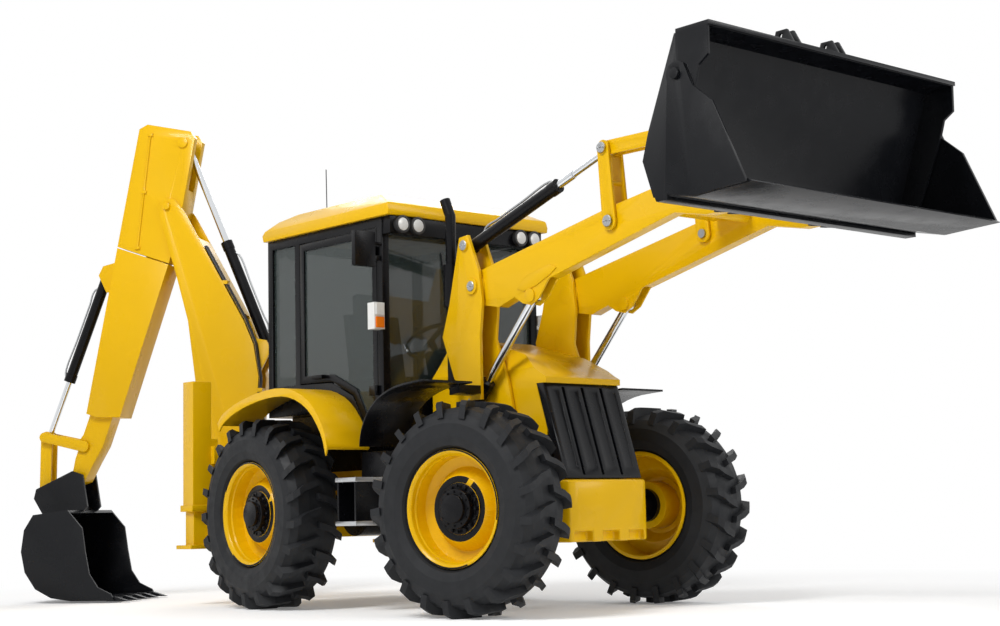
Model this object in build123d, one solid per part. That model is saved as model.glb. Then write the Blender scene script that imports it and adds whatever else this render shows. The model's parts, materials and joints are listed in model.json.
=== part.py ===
from build123d import *
import math
import os

os.makedirs("parts", exist_ok=True)

# Backhoe loader with four equal wheels. Millimetres, +X forward, +Y to the machine's left, +Z up.
# It is laid out from the point on the ground under the middle of the rear axle, and moved at the
# end so that the origin is on the ground under the middle of the whole machine.

# ---- driving dimensions -------------------------------------------------------------------
WHEELBASE = 2220
TRACK_HALF = 925             # centre plane to the middle of a tyre
TYRE_R = 700                 # over the lugs
TYRE_W = 440
LUG_H = 42
LUGS_A_SIDE = 21
RIM_R = 372                  # bead seat
RIM_HALF_W = 185
HUB_R = 168                  # hole in the dish, and the planetary hub in it
KINGPIN_Y = 640              # steering pivot from the centre plane
STEER_REST = 10.5            # front wheels, turned left, degrees
REAR_STEER_REST = -3.0
PLATE = 25                   # structural plate
GAP = 0.3                    # between a pin and its bore, a rod and its gland
PIN_R = 30

ARM_PIVOT = (1890, 2225)     # (x, z) of the loader arms' pivot pins
BUCKET_PIVOT = (4145, 2486)
LEVER_PIN = (3215, 2496)     # tipping levers' foot on the arms
LEVER_TOP = (3178, 2978)
TOWER_TOP = (1815, 2520)     # tilt rams' base pins
LIFT_ON_ARM = (2440, 2105)   # lift rams' rod pins, under the arms
LIFT_ON_FRAME = (1290, 860)
ARM_Y = 444                  # middle plane of an arm
ARM_W = 88                   # box section's width
TOWER_IN = 385               # the arm's side of the inner tower plates
TOWER_OUT = 503              # the arm's side of the outer ones
TOWER_FACE = 1640            # rear face of the web between them
LOADER_BUCKET_HALF = 1205

FRAME_HALF = 330             # outer faces of the chassis rails
HOOD_HALF = 352
CAB_HALF = 745
CAB_FLOOR = 1180
CAB_ROOF_Z = 3030

KINGPOST_X = -1420
SLEW_REST = 38               # backhoe swung to the machine's right, degrees
BOOM_FOOT = (215, 800)       # (distance from the slew axis, z)
BOOM_TOP = (847, 3350)       # boom to dipper pivot
BOOM_HALF = 150
HOSE_R = 13
HOSES_Y = [100, 129]         # hoses on the boom, to the right of its middle plane
HOSE_LINE = [(60, 1430), (24, 1840), (66, 2140), (150, 2340), (500, 2985)]
DIPPER_HALF = 128
DIPPER_RAM_FOOT = (-15, 2100)
DIPPER_RAM_HEAD = (709, 3905)
BOOM_RAM_FOOT = (20, 1225)
BOOM_RAM_HEAD = (300, 2300)
BUCKET_RAM_FOOT = (1447, 2800)
TIP_PIVOT = (1617, 1313)     # tipping lever on the inner dipper
TIP_TOP = (1977, 1400)       # bucket ram's rod and tipping link
HITCH_PIN = (1668, 1041)     # bucket pivot at the dipper's end
LINK_PIN = (1986, 905)       # tipping link on the bucket's hitch
HOE_BUCKET_HALF = 460
STAB_X = -975
STAB_Y = 965

ALL = {}


def box(x0, x1, y0, y1, z0, z1):
    return Pos((x0 + x1) / 2, (y0 + y1) / 2, (z0 + z1) / 2) * Box(abs(x1 - x0), abs(y1 - y0), abs(z1 - z0))


def prism(points, y0, y1):
    """A flat outline in the XZ plane, given as (x, z), made solid from y0 to y1."""
    face = make_face(Polyline([(x, 0, z) for x, z in points], close=True))
    return Pos(0, min(y0, y1), 0) * extrude(face, amount=abs(y1 - y0), dir=(0, 1, 0))


def slab(points, z0, z1):
    """A flat outline in plan, given as (x, y), made solid from z0 to z1."""
    face = make_face(Polyline([(x, y, 0) for x, y in points], close=True))
    return Pos(0, 0, z0) * extrude(face, amount=z1 - z0, dir=(0, 0, 1))


def cross_section(points, x0, x1):
    """An outline across the machine, given as (y, z), made solid from x0 to x1."""
    face = make_face(Polyline([(0, y, z) for y, z in points], close=True))
    return Pos(x0, 0, 0) * extrude(face, amount=x1 - x0, dir=(1, 0, 0))


def rod(a, b, r):
    """A round bar of radius r from a to b."""
    a, b = Vector(*a), Vector(*b)
    return Plane(origin=a, z_dir=(b - a)) * Cylinder(r, (b - a).length,
        align=(Align.CENTER, Align.CENTER, Align.MIN))


def pin(at, y0, y1, r):
    """A round bar across the machine, on the (x, z) point at, from y0 to y1."""
    return rod((at[0], min(y0, y1), at[1]), (at[0], max(y0, y1), at[1]), r)


def both(solid):
    """A left-hand solid with its right-hand twin."""
    return solid + mirror(solid, about=Plane.XZ)


def distance(a, b):
    return math.hypot(b[0] - a[0], b[1] - a[1])


def along(a, b, reach, side=0):
    """The point reach along the line a to b, and side to the left of it."""
    n = distance(a, b)
    ux, uz = (b[0] - a[0]) / n, (b[1] - a[1]) / n
    return (a[0] + ux * reach - uz * side, a[1] + uz * reach + ux * side)


def strap(a, b, r_a, r_b, y0, y1):
    """A link plate between two eyes of radii r_a and r_b."""
    edge = [along(a, b, 0, r_a * 0.98), along(a, b, distance(a, b), r_b * 0.98)]
    edge += [along(a, b, distance(a, b), -r_b * 0.98), along(a, b, 0, -r_a * 0.98)]
    return prism(edge, y0, y1) + pin(a, y0, y1, r_a) + pin(b, y0, y1, r_b)


def ram(foot, head, y, barrel_r, bore_r, rod_r, gland, piston, eye_w):
    """A cylinder from foot to head in the plane y: its barrel with a foot eye, and its rod."""
    eye_r = 45
    bore_start = eye_r + 17
    total = distance(foot, head)

    def at(reach):
        x, z = along(foot, head, reach)
        return (x, y, z)
    barrel = rod(at(eye_r * 0.7), at(gland - 40), barrel_r) + rod(at(gland - 70), at(gland), barrel_r + 5)
    barrel += pin(foot, y - eye_w / 2, y + eye_w / 2, eye_r)
    barrel -= rod(at(bore_start), at(gland + 1), bore_r + GAP)
    barrel -= pin(foot, y - eye_w, y + eye_w, PIN_R + GAP)
    shaft = rod(at(piston), at(total - eye_r * 0.7), rod_r)
    shaft += pin(head, y - eye_w / 2, y + eye_w / 2, eye_r)
    return barrel, shaft


def group(solids):
    """Separate solids of one node."""
    whole = solids[0]
    for solid in solids[1:]:
        whole = whole + solid
    return whole


def keep(name, shape):
    ALL[name] = shape


# ---- wheels -----------------------------------------------------------------------------------
def tyre():
    """Tractor tyre about the Y axis: carcass, and two rows of slanted lugs that meet at the middle."""
    base = TYRE_R - LUG_H
    w = TYRE_W / 2
    wall = [(RIM_R, w * 0.72), (RIM_R + 13, w * 0.72), (RIM_R + 34, w * 0.90), (RIM_R + 90, w * 0.99),
            (base - 110, w * 0.99), (base - 48, w * 0.90), (base - 14, w * 0.68), (base, w * 0.3)]
    section = [(r, 0, y) for r, y in wall] + [(r, 0, -y) for r, y in reversed(wall)]
    carcass = revolve(make_face(Polyline(section, close=True)), Axis.Z)
    # A lug in the tangent plane at the tyre's top: along the tread, and out from its middle.
    lug_plan = [(-86, -6), (-40, -6), (-2, w * 0.5), (66, w), (16, w), (-50, w * 0.5)]
    lug = Pos(0, 0, base - 75) * extrude(make_face(Polyline([(x, y, 0) for x, y in lug_plan], close=True)),
                                         amount=LUG_H + 100, dir=(0, 0, 1))
    pitch = 360 / LUGS_A_SIDE
    lugs = []
    for i in range(LUGS_A_SIDE):
        lugs.append(Rot(0, i * pitch, 0) * lug)
        lugs.append(Rot(0, (i + 0.5) * pitch, 0) * mirror(lug, about=Plane.XZ))
    envelope_wall = [(RIM_R, 0), (RIM_R, w + 1), (base - 100, w + 1), (TYRE_R - 26, w * 0.95),
        (TYRE_R, w * 0.74)]
    ring = [(r, 0, y) for r, y in envelope_wall]
    ring += [(r, 0, -y) for r, y in reversed(envelope_wall[1:])]
    envelope = revolve(make_face(Polyline(ring, close=True)), Axis.Z)
    turn = Rot(90, 0, 0)
    body = (turn * carcass).fuse(*[lug_solid for lug_solid in lugs])
    return body & (turn * envelope)


def rim():
    """Deep-dish steel rim about the Y axis, outer side at -Y: barrel, stepped dish, planetary hub."""
    h = RIM_HALF_W
    r = RIM_R - GAP
    steps = [(r, -h), (r + 12, -h), (r + 12, -h + 12), (r, -h + 12), (r, h - 12), (r + 12, h - 12),
        (r + 12, h), (r - 14, h), (r - 14, -20), (r - 90, 0), (262, 0), (205, -84), (HUB_R, -84),
        (HUB_R, -98), (212, -98), (272, -14), (r - 96, -14), (r - 30, -34), (r - 30, -h + 60),
        (r - 22, -h + 50), (r - 22, -h + 20), (r - 14, -h + 10)]
    shell = revolve(make_face(Polyline([(a, 0, b) for a, b in steps], close=True)), Axis.Z)
    shell = Rot(-90, 0, 0) * shell
    return shell


def hub():
    """Planetary hub in the rim's middle: flange, drum, cap and its bolt bosses."""
    drum = rod((0, 95, 0), (0, -102, 0), HUB_R - GAP) + rod((0, -102, 0), (0, -150, 0), 128)
    drum += rod((0, -150, 0), (0, -178, 0), 92)
    for i in range(8):
        a = math.radians(45 * i + 22.5)
        x, z = 147 * math.cos(a), 147 * math.sin(a)
        drum += rod((x, -100, z), (x, -118, z), 14)
    return drum


def make_wheels():
    # name: axle's x, side (+1 left), steering angle at rest
    table = [("front_right", WHEELBASE, -1, STEER_REST), ("front_left", WHEELBASE, 1, STEER_REST),
             ("rear_right", 0, -1, REAR_STEER_REST), ("rear_left", 0, 1, REAR_STEER_REST)]
    one_tyre = tyre()
    one_rim = rim()
    one_hub = hub()
    for name, x, side, steer in table:
        face = 0 if side < 0 else 180
        king = Pos(x, side * KINGPIN_Y, TYRE_R) * Rot(0, 0, steer)
        out = king * Pos(0, side * (TRACK_HALF - KINGPIN_Y), 0) * Rot(0, 0, face)
        keep("tyre_" + name, out * one_tyre)
        keep("rim_" + name, out * (one_rim + one_hub))
        keep("knuckle_" + name, king * knuckle(side))


def knuckle(side):
    """Swivel hub about the origin's vertical pin, with a stub axle that points outwards."""
    body = rod((0, 0, -YOKE_INNER + 5), (0, 0, YOKE_INNER - 5), 62)
    end = TRACK_HALF - KINGPIN_Y - 95 - GAP
    body += rod((0, 0, 0), (0, side * end, 0), 78)
    body += rod((0, side * (end - 40), 0), (0, side * end, 0), 120)
    body += rod((0, 0, -YOKE_INNER - 25), (0, 0, YOKE_INNER + 25), PIN_R)
    return body


YOKE_INNER = 100


def axle(x):
    """Steered drive axle under the rails: differential, tubes and the forks that hold the knuckles."""
    z = TYRE_R
    body = rod((x, -KINGPIN_Y + 105, z), (x, KINGPIN_Y - 105, z), 92)
    body += rod((x, -150, z), (x, 150, z), 185)
    body += rod((x - 230, 0, z), (x, 0, z), 95)
    body += box(x - 110, x + 110, -FRAME_HALF, FRAME_HALF, z + 60, FRAME_Z - 0)
    for side in (-1, 1):
        yoke = slab([(x - 70, side * (KINGPIN_Y - 130)), (x + 70, side * (KINGPIN_Y - 130)),
                     (x + 62, side * (KINGPIN_Y + 48)), (x - 62, side * (KINGPIN_Y + 48))],
                    z - YOKE_INNER - 25, z + YOKE_INNER + 25)
        yoke -= box(x - 90, x + 90, side * (KINGPIN_Y - 95), side * (KINGPIN_Y + 90), z - YOKE_INNER,
            z + YOKE_INNER)
        yoke -= rod((x, side * KINGPIN_Y, z - 200), (x, side * KINGPIN_Y, z + 200), PIN_R + GAP)
        body += yoke
    return body


# ---- chassis ------------------------------------------------------------------------------------
FRAME_Z = 830                # underside of the rails
FRAME_TOP = 1010
REAR_END = -860
FRONT_END = 2480
RAIL_W = 70
CW_FRONT = 2655              # front counterweight's face
CW_HALF = 388
CW_Z0 = 465
CW_Z1 = 875


def chassis():
    """Two rails with cross tubes, the loader towers, and the lift rams' brackets."""
    rail = box(REAR_END, FRONT_END, FRAME_HALF - RAIL_W, FRAME_HALF, FRAME_Z, FRAME_TOP)
    tower = prism([(1700, 980), (1700, 1500), (1560, 1900), (1640, 2120), (1760, 2580), (1850, 2590),
                   (1960, 2330), (1990, 2120), (1960, 1860), (2080, 1560), (2150, 1250), (2150, 980)],
                  TOWER_IN - PLATE, TOWER_IN)
    outer = prism([(1560, 1900), (1640, 2120), (1760, 2580), (1850, 2590), (1960, 2330), (1990, 2120),
                   (1960, 1880), (1960, 1440), (1850, 1440), (1680, 1600)], TOWER_OUT, TOWER_OUT + PLATE)
    web = box(TOWER_FACE, TOWER_FACE + 60, TOWER_IN, TOWER_OUT, 1620, 1940)
    foot = box(1700, 2150, FRAME_HALF - 10, TOWER_IN - PLATE + 1, 960, 1120)
    side = rail + tower + outer + web + foot
    # The hood's hinge stand.
    hx, hz = HOOD_HINGE
    side += box(hx - 20, hx + 20, HINGE_EAR_Y - 27, HINGE_EAR_Y - 2, FRAME_TOP - 30, hz - 10)
    side += pin(HOOD_HINGE, HINGE_EAR_Y - 27, HINGE_EAR_Y - 2, 20)
    side += pin(HOOD_HINGE, HINGE_EAR_Y - 27, HINGE_EAR_Y + 18, HINGE_R)
    side += pin(ARM_PIVOT, TOWER_IN - PLATE - 2, TOWER_IN, 62)
    side += pin(ARM_PIVOT, TOWER_OUT, TOWER_OUT + PLATE + 14, 58)
    side += pin(TOWER_TOP, TOWER_OUT, TOWER_OUT + PLATE + 12, 42)
    side += pin(ARM_PIVOT, TOWER_IN - 1, TOWER_OUT + 1, PIN_R)
    side += pin(TOWER_TOP, TOWER_IN - 1, TOWER_OUT + 1, PIN_R)
    # Lift ram's foot: a pin between a boss on the rail and an outer cheek.
    lx, lz = LIFT_ON_FRAME
    side += pin(LIFT_ON_FRAME, FRAME_HALF, TOWER_IN, 66)
    side += prism([(lx - 80, lz - 95), (lx - 60, lz + 60), (lx + 60, lz + 60), (lx + 80, lz - 95)],
                  TOWER_OUT, TOWER_OUT + PLATE)
    side += box(lx - 80, lx + 80, FRAME_HALF - RAIL_W, TOWER_OUT + PLATE, lz - 95, lz - 70)
    side += pin(LIFT_ON_FRAME, TOWER_IN - 1, TOWER_OUT + 1, PIN_R)
    body = both(side)
    inner = FRAME_HALF - RAIL_W
    for x in (REAR_END + 60, 560, HOOD_HINGE[0], FRONT_END - 60):
        body += box(x - 45, x + 45, -inner, inner, FRAME_Z + 20, FRAME_TOP - 20)
    body += box(REAR_END, REAR_END + 60, -700, 700, 700, 1250)
    body += box(640, 980, -FRAME_HALF + RAIL_W, FRAME_HALF - RAIL_W, FRAME_Z + 30, FRAME_TOP)
    return body


def counterweight():
    """Cast weight across the nose, rounded at its corners, with three pockets along its foot."""
    r = 90
    plan = [(FRONT_END - 60, -CW_HALF), (CW_FRONT - r, -CW_HALF), (CW_FRONT - 26, -CW_HALF + 26),
            (CW_FRONT, -CW_HALF + r), (CW_FRONT, CW_HALF - r), (CW_FRONT - 26, CW_HALF - 26),
            (CW_FRONT - r, CW_HALF), (FRONT_END - 60, CW_HALF)]
    body = slab(plan, CW_Z0, CW_Z1)
    body -= box(0, FRONT_END + GAP, -FRAME_HALF - GAP, FRAME_HALF + GAP, FRAME_Z - GAP, CW_Z1 + 1)
    for y in (-250, 0, 250):
        body -= box(CW_FRONT - 60, CW_FRONT + 1, y - 75, y + 75, CW_Z0 - 1, CW_Z0 + 70)
    return body


# ---- hood, grille and engine ---------------------------------------------------------------------
HOOD_REAR = 1225
HOOD_Z = 1880                # top at the rear
HOOD_HINGE = (1260, 1830)
HINGE_EAR_Y = 148            # the hood's hinge ears, from the centre plane
HINGE_R = 10
LIP = (2425, 1570)           # front lip's top edge
GRILLE_TOP = (2395, 1530)
GRILLE_FOOT = (2600, 885)


def hood():
    """Sloping engine cover, crowned across, with a wide front lip: a shell that is open below."""
    outer = cross_section([(-HOOD_HALF, 1180), (-HOOD_HALF, 1640), (-HOOD_HALF + 90, 1760), (-180, HOOD_Z),
                           (180, HOOD_Z), (HOOD_HALF - 90, 1760), (HOOD_HALF, 1640), (HOOD_HALF, 1180)],
                          HOOD_REAR, LIP[0])
    side = prism([(HOOD_REAR, 1180), (HOOD_REAR, HOOD_Z), (1700, HOOD_Z - 10), (2150, 1740),
        (2370, 1600), (LIP[0], LIP[1]), (LIP[0], GRILLE_TOP[1]), (2328, GRILLE_TOP[1]), (2438, 1180)],
        -HOOD_HALF - 1, HOOD_HALF + 1)
    body = outer & side
    w = 18
    inner = cross_section([(-HOOD_HALF + w, 1100), (-HOOD_HALF + w, 1630), (-HOOD_HALF + 98, 1742),
        (-176, HOOD_Z - w), (176, HOOD_Z - w), (HOOD_HALF - 98, 1742), (HOOD_HALF - w, 1630),
        (HOOD_HALF - w, 1100)], HOOD_REAR - 1, LIP[0] + 10)
    hollow = prism([(HOOD_REAR - 1, 1100), (HOOD_REAR - 1, HOOD_Z - w), (1690, HOOD_Z - 10 - w),
                    (2140, 1740 - w), (2326, 1605 - w), (2328, 1500), (2480, 1100)], -HOOD_HALF, HOOD_HALF)
    body -= inner & hollow
    # Two hinge ears under the crown.
    hx, hz = HOOD_HINGE
    ear = prism([(hx - 25, HOOD_Z - w), (hx - 16, hz - 16), (hx + 16, hz - 16), (hx + 60, HOOD_Z - w)],
                HINGE_EAR_Y, HINGE_EAR_Y + 18)
    ear -= pin(HOOD_HINGE, HINGE_EAR_Y - 1, HINGE_EAR_Y + 19, HINGE_R + GAP)
    return body + both(ear)


def grille():
    """Leaning grille: four ribbed panels side by side, and a deep frame round them."""
    depth = 60
    back = [(GRILLE_TOP[0], GRILLE_TOP[1]), (GRILLE_FOOT[0], GRILLE_FOOT[1]),
        (GRILLE_FOOT[0] - depth, GRILLE_FOOT[1]), (GRILLE_TOP[0] - depth, GRILLE_TOP[1])]
    half = HOOD_HALF + 5
    body = prism(back, -half, half)
    panel = 2 * half / 4
    run = distance(GRILLE_TOP, GRILLE_FOOT)
    for i in range(1, 4):
        y = -half + i * panel
        a = along(GRILLE_TOP, GRILLE_FOOT, 25, 1)
        b = along(GRILLE_TOP, GRILLE_FOOT, run - 25, 1)
        groove = [a, b, along(GRILLE_TOP, GRILLE_FOOT, run - 25, -22),
            along(GRILLE_TOP, GRILLE_FOOT, 25, -22)]
        body -= prism(groove, y - 12, y + 12)
    # A shallow waist down each panel's middle.
    for i in range(4):
        y = -half + (i + 0.5) * panel
        waist = [along(GRILLE_TOP, GRILLE_FOOT, 40, 1), along(GRILLE_TOP, GRILLE_FOOT, run - 70, 1),
                 along(GRILLE_TOP, GRILLE_FOOT, run - 90, -7), along(GRILLE_TOP, GRILLE_FOOT, 60, -7)]
        body -= prism(waist, y - 46, y + 46)
    return body


def engine():
    """The engine and radiator as one plain block, seated on the rails."""
    return box(1450, 2200, -FRAME_HALF + 40, FRAME_HALF - 40, FRAME_TOP + GAP, 1600)


def exhaust():
    """Exhaust stack with its raked tip, on the hood's right rear corner."""
    x, y = 1560, -436
    low = 1560
    body = rod((x, y, low), (x, y, 2780), 38)
    body += Pos(x, y, low) * Sphere(38)
    body += rod((x, y, low), (x, -HOOD_HALF - 8, low), 38)
    body += box(x + 30, TOWER_FACE, y - 12, y + 12, 1710, 1750)
    body += Plane(origin=(x, y, 2770), z_dir=(-0.35, -0.1, 1)) * Cylinder(38, 130,
        align=(Align.CENTER, Align.CENTER, Align.MIN))
    body += rod((x, y, 2120), (x, y, 2420), 58)
    return body


# ---- cab ---------------------------------------------------------------------------------------
CAB_REAR = -290
CAB_FRONT = 1160
POST = 62
DOOR_REAR = 135              # rear edge of the door's opening
CAB_TOP = 2800               # top ring's top
SILL_Z = 1215
BROW = 85                    # the lamp brow's depth in front of the cab
LAMP_Z = 2738                # middle height of the work lamps
ARCH_X = 640                 # wheel arches reach this far forward
ARCH_Y = 528
ARCH_Z = 1450
FENDER = [(-436, 1388), (-350, 1462), (-110, 1545), (230, 1600), (520, 1590), (760, 1490), (925, 1310),
    (985, 1150)]


DOOR_PIN_X = CAB_FRONT - POST - 6
DOOR_PIN_Y = CAB_HALF + 17
DOOR_HINGES = [1480, 2480]   # undersides of the two hinges


def smooth(points, parts):
    """More points on an even curve through the points."""
    out = []
    for i in range(len(points) - 1):
        p0, p1 = points[max(i - 1, 0)], points[i]
        p2, p3 = points[i + 1], points[min(i + 2, len(points) - 1)]
        for k in range(parts):
            t = k / parts
            out.append(tuple(0.5 * (2 * b + (c - a) * t + (2 * a - 5 * b + 4 * c - d) * t * t
                + (3 * b - a - 3 * c + d) * t ** 3) for a, b, c, d in zip(p0, p1, p2, p3)))
    return out + [points[-1]]


def door_outline(inset):
    """Door in side view, its lower rear corner cut round the mudguard."""
    i = inset
    return [(DOOR_REAR + 6 + i, 1665 + i), (DOOR_REAR + 6 + i, CAB_TOP - 78 - i),
        (CAB_FRONT - POST - 6 - i, CAB_TOP - 78 - i), (CAB_FRONT - POST - 6 - i, SILL_Z + 70 + i),
        (962 + i * 0.4, SILL_Z + 70 + i), (800 + i * 0.7, 1540 + i * 0.8), (540 + i * 0.2, 1655 + i)]


def cab_frame():
    """Floor, posts, top ring and the fixed lower walls of the cab."""
    y1 = CAB_HALF
    y0 = CAB_HALF - POST
    body = box(CAB_REAR, ARCH_X, -ARCH_Y, ARCH_Y, CAB_FLOOR, SILL_Z) + box(ARCH_X, CAB_FRONT, -y1, y1,
        CAB_FLOOR, SILL_Z)
    # Wheel arches: a wall inside each rear wheel, a shelf over it and a bulkhead in front.
    body += both(box(CAB_REAR, ARCH_X, ARCH_Y - 15, ARCH_Y, SILL_Z, ARCH_Z))
    body += both(box(CAB_REAR, ARCH_X, ARCH_Y - 15, y1, ARCH_Z - 20, ARCH_Z))
    body += both(box(ARCH_X, ARCH_X + 20, ARCH_Y - 15, y1, SILL_Z, ARCH_Z))
    for x, z in ((CAB_REAR, ARCH_Z - 20), (DOOR_REAR - POST, ARCH_Z - 20), (CAB_FRONT - POST, SILL_Z)):
        body += both(box(x, x + POST, y0, y1, z, CAB_TOP))
    ring = box(CAB_REAR, CAB_FRONT, -y1, y1, CAB_TOP - 70, CAB_TOP)
    ring -= box(CAB_REAR + POST, CAB_FRONT - POST, -y0, y0, CAB_TOP - 80, CAB_TOP + 1)
    body += ring
    # Brow under the roof's front overhang, for the work lamps.
    body += box(CAB_FRONT - 5, CAB_FRONT + BROW, -y1 + 10, y1 - 10, LAMP_Z - 66, CAB_TOP)
    wall = 30
    body += both(box(CAB_REAR + POST, DOOR_REAR - POST, y1 - wall, y1, ARCH_Z - 20, 1660))
    arch = prism([(DOOR_REAR - 1, ARCH_Z - 20), (DOOR_REAR - 1, 1656), (532, 1646), (792, 1532),
        (954, SILL_Z + 60), (CAB_FRONT - POST, SILL_Z + 60), (CAB_FRONT - POST, CAB_FLOOR),
        (ARCH_X, CAB_FLOOR), (ARCH_X, ARCH_Z - 20)], y1 - wall, y1)
    body += both(arch)
    body += box(CAB_REAR, CAB_REAR + wall, -ARCH_Y, ARCH_Y, SILL_Z, 1750)
    body += box(CAB_REAR, CAB_REAR + wall, -y0, y0, ARCH_Z - 20, 1750)
    body += box(CAB_FRONT - wall, CAB_FRONT, -y0, y0, SILL_Z, 1560)
    body += box(CAB_REAR + 80, CAB_FRONT - 80, -FRAME_HALF, FRAME_HALF, FRAME_TOP, CAB_FLOOR)
    # Door hinges: a block on the front post and its pin.
    for z in DOOR_HINGES:
        body += both(rod((DOOR_PIN_X, DOOR_PIN_Y, z), (DOOR_PIN_X, DOOR_PIN_Y, z + 110), HINGE_R))
        body += both(box(DOOR_PIN_X, DOOR_PIN_X + 45, CAB_HALF, DOOR_PIN_Y + 12, z, z + 36)
                     + rod((DOOR_PIN_X, DOOR_PIN_Y, z), (DOOR_PIN_X, DOOR_PIN_Y, z + 36), HINGE_R + 2))
    return body


def cab_glass():
    """Windscreen, rear window and the fixed quarter lights, 6 mm thick and set into the frame."""
    g = GAP
    t = 6
    y0 = CAB_HALF - POST
    top = CAB_TOP - 70
    panes = [box(CAB_FRONT - 30, CAB_FRONT - 30 + t, -y0 + g, y0 - g, 1560 + g, top - g),
             box(CAB_REAR + 20, CAB_REAR + 20 + t, -y0 + g, y0 - g, 1750 + g, top - g)]
    for side in (-1, 1):
        ya, yb = side * (CAB_HALF - 24), side * (CAB_HALF - 18)
        panes.append(box(CAB_REAR + POST + g, DOOR_REAR - POST - g, min(ya, yb), max(ya, yb), 1660 + g,
            top - g))
    return panes


def cab_roof():
    """Moulded roof cap with a lower front brow, overhanging the ring all round."""
    a = CAB_HALF + 30
    side = prism([(CAB_REAR - 20, CAB_TOP + GAP), (CAB_REAR - 35, 2850), (CAB_REAR + 90, 2950),
        (200, CAB_ROOF_Z - 10), (420, CAB_ROOF_Z), (760, CAB_ROOF_Z - 14), (1080, 2975),
        (CAB_FRONT + 100, 2890), (CAB_FRONT + 118, 2835), (CAB_FRONT + 112, CAB_TOP + GAP)], -a, a)
    across = cross_section([(-a, CAB_TOP + GAP), (-a, 2880), (-a + 110, 2985), (-a + 260, CAB_ROOF_Z),
                            (a - 260, CAB_ROOF_Z), (a - 110, 2985), (a, 2880), (a, CAB_TOP + GAP)],
                           CAB_REAR - 100, CAB_FRONT + 130)
    # Radio aerial on the right, over the door.
    ax, ay = 60, -430
    aerial = rod((ax, ay, CAB_ROOF_Z - 40), (ax, ay, CAB_ROOF_Z + 24), 16)
    aerial += rod((ax, ay, CAB_ROOF_Z), (ax - 6, ay, CAB_ROOF_Z + 330), 4)
    return (side & across) + aerial


def door(side):
    """Door: its frame and its pane, at the cab's side."""
    frame = prism(door_outline(0), side * CAB_HALF, side * (CAB_HALF - 32))
    frame -= prism(door_outline(52), side * (CAB_HALF + 5), side * (CAB_HALF - 40))
    handle_x = 330
    frame += box(handle_x, handle_x + 130, side * CAB_HALF, side * (CAB_HALF + 38), 1685, 1712)
    for z in DOOR_HINGES:
        low = z + 36 + GAP
        leaf = box(DOOR_PIN_X - 70, DOOR_PIN_X, CAB_HALF, DOOR_PIN_Y + 10, low, z + 108)
        leaf += rod((DOOR_PIN_X, DOOR_PIN_Y, low), (DOOR_PIN_X, DOOR_PIN_Y, z + 108), 15)
        leaf -= rod((DOOR_PIN_X, DOOR_PIN_Y, z), (DOOR_PIN_X, DOOR_PIN_Y, z + 112), HINGE_R + GAP)
        frame += leaf if side > 0 else mirror(leaf, about=Plane.XZ)
    pane = prism(door_outline(52 + GAP), side * (CAB_HALF - 12), side * (CAB_HALF - 18))
    return frame, pane


def cab_interior():
    """Seat on its pedestal with a headrest, front console with column and wheel, rear control pods."""
    solids = []
    seat = box(120, 560, -150, 150, SILL_Z + GAP, 1480)
    seat += box(90, 620, -250, 250, 1480, 1610)
    seat += prism([(90, 1610), (190, 1610), (80, 2230), (0, 2230)], -240, 240)
    seat += prism([(58, 2230), (10, 2230), (0, 2380), (40, 2400)], -150, 150)
    seat += both(box(160, 520, 255, 315, 1700, 1750)) + both(box(160, 220, 240, 315, 1560, 1750))
    solids.append(seat)
    column = prism([(900, SILL_Z + GAP), (1060, SILL_Z + GAP), (1060, 1560), (880, 1880), (840, 1860),
        (930, 1500)], -110, 110)
    column += rod((860, 0, 1860), (785, 0, 1970), 26)
    wheel = Plane(origin=(785, 0, 1970), z_dir=(-0.55, 0, 0.83)) * Torus(190, 17)
    wheel += Plane(origin=(785, 0, 1970), z_dir=(-0.55, 0, 0.83)) * Box(370, 40, 16)
    solids.append(column + wheel)
    for y in (-600, 600):
        solids.append(box(CAB_REAR + 90, 60, y - 70, y + 70, ARCH_Z + GAP, 1720))
    return solids


def rear_fenders():
    """Arched guards over the rear wheels, joined to the cab's sides."""
    t = 16
    outer = smooth(FENDER, 3)
    inner = [(x * 0.985 + 5, z - t) for x, z in reversed(outer)]
    skin = prism(outer + inner, CAB_HALF + GAP, 1120)
    edge = prism(outer + [(x * 0.97 + 10, z - 60) for x, z in reversed(outer)], 1105, 1120)
    return both(skin + edge)


def front_fenders():
    """Black guards behind and over the front wheels, on brackets from the towers."""
    line = [(1388, 1150), (1410, 1250), (1480, 1365), (1590, 1452), (1720, 1505), (1870, 1535), (2090, 1548)]
    line = smooth(line, 2)
    inner = [(x + 2, z - 14) for x, z in reversed(line)]
    skin = prism(line + inner, 715, 1140)
    skin += prism([(1850, 1470), (1850, 1524), (1960, 1535), (1960, 1480)], TOWER_OUT + PLATE, 716)
    return both(skin)


def side_steps():
    """Fuel tank and battery box between the wheels, each with two bright steps on hangers."""
    x0, x1 = 905, 1195
    body = box(x0, x1, FRAME_HALF + GAP, 760, 640, 1120)
    for z in (905, 600):
        body += box(x0 + 20, x1 - 30, 740, 1010, z, z + 32)
    body += box(x0 + 30, x0 + 50, 745, 1000, 600, 930) + box(x1 - 60, x1 - 40, 745, 1000, 600, 930)
    return both(body)


def lamps():
    """Round work lamps on the roof's brow and rear edge, and the front indicator units."""
    solids = []
    for y in (-640, -500, 500, 640):
        solids.append(rod((CAB_FRONT + BROW, y, LAMP_Z), (CAB_FRONT + BROW + 30, y, LAMP_Z), 56))
        solids.append(rod((CAB_REAR - 26, y, LAMP_Z), (CAB_REAR, y, LAMP_Z), 52))
    for side in (-1, 1):
        y = side * (CAB_HALF + 60)
        solids.append(box(CAB_FRONT - 40, CAB_FRONT + 40, y - 45, y + 45, 1980, 2170) +
                      box(CAB_FRONT - 30, CAB_FRONT + 10, side * (CAB_HALF + GAP), y, 2060, 2090))
    return solids


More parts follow.
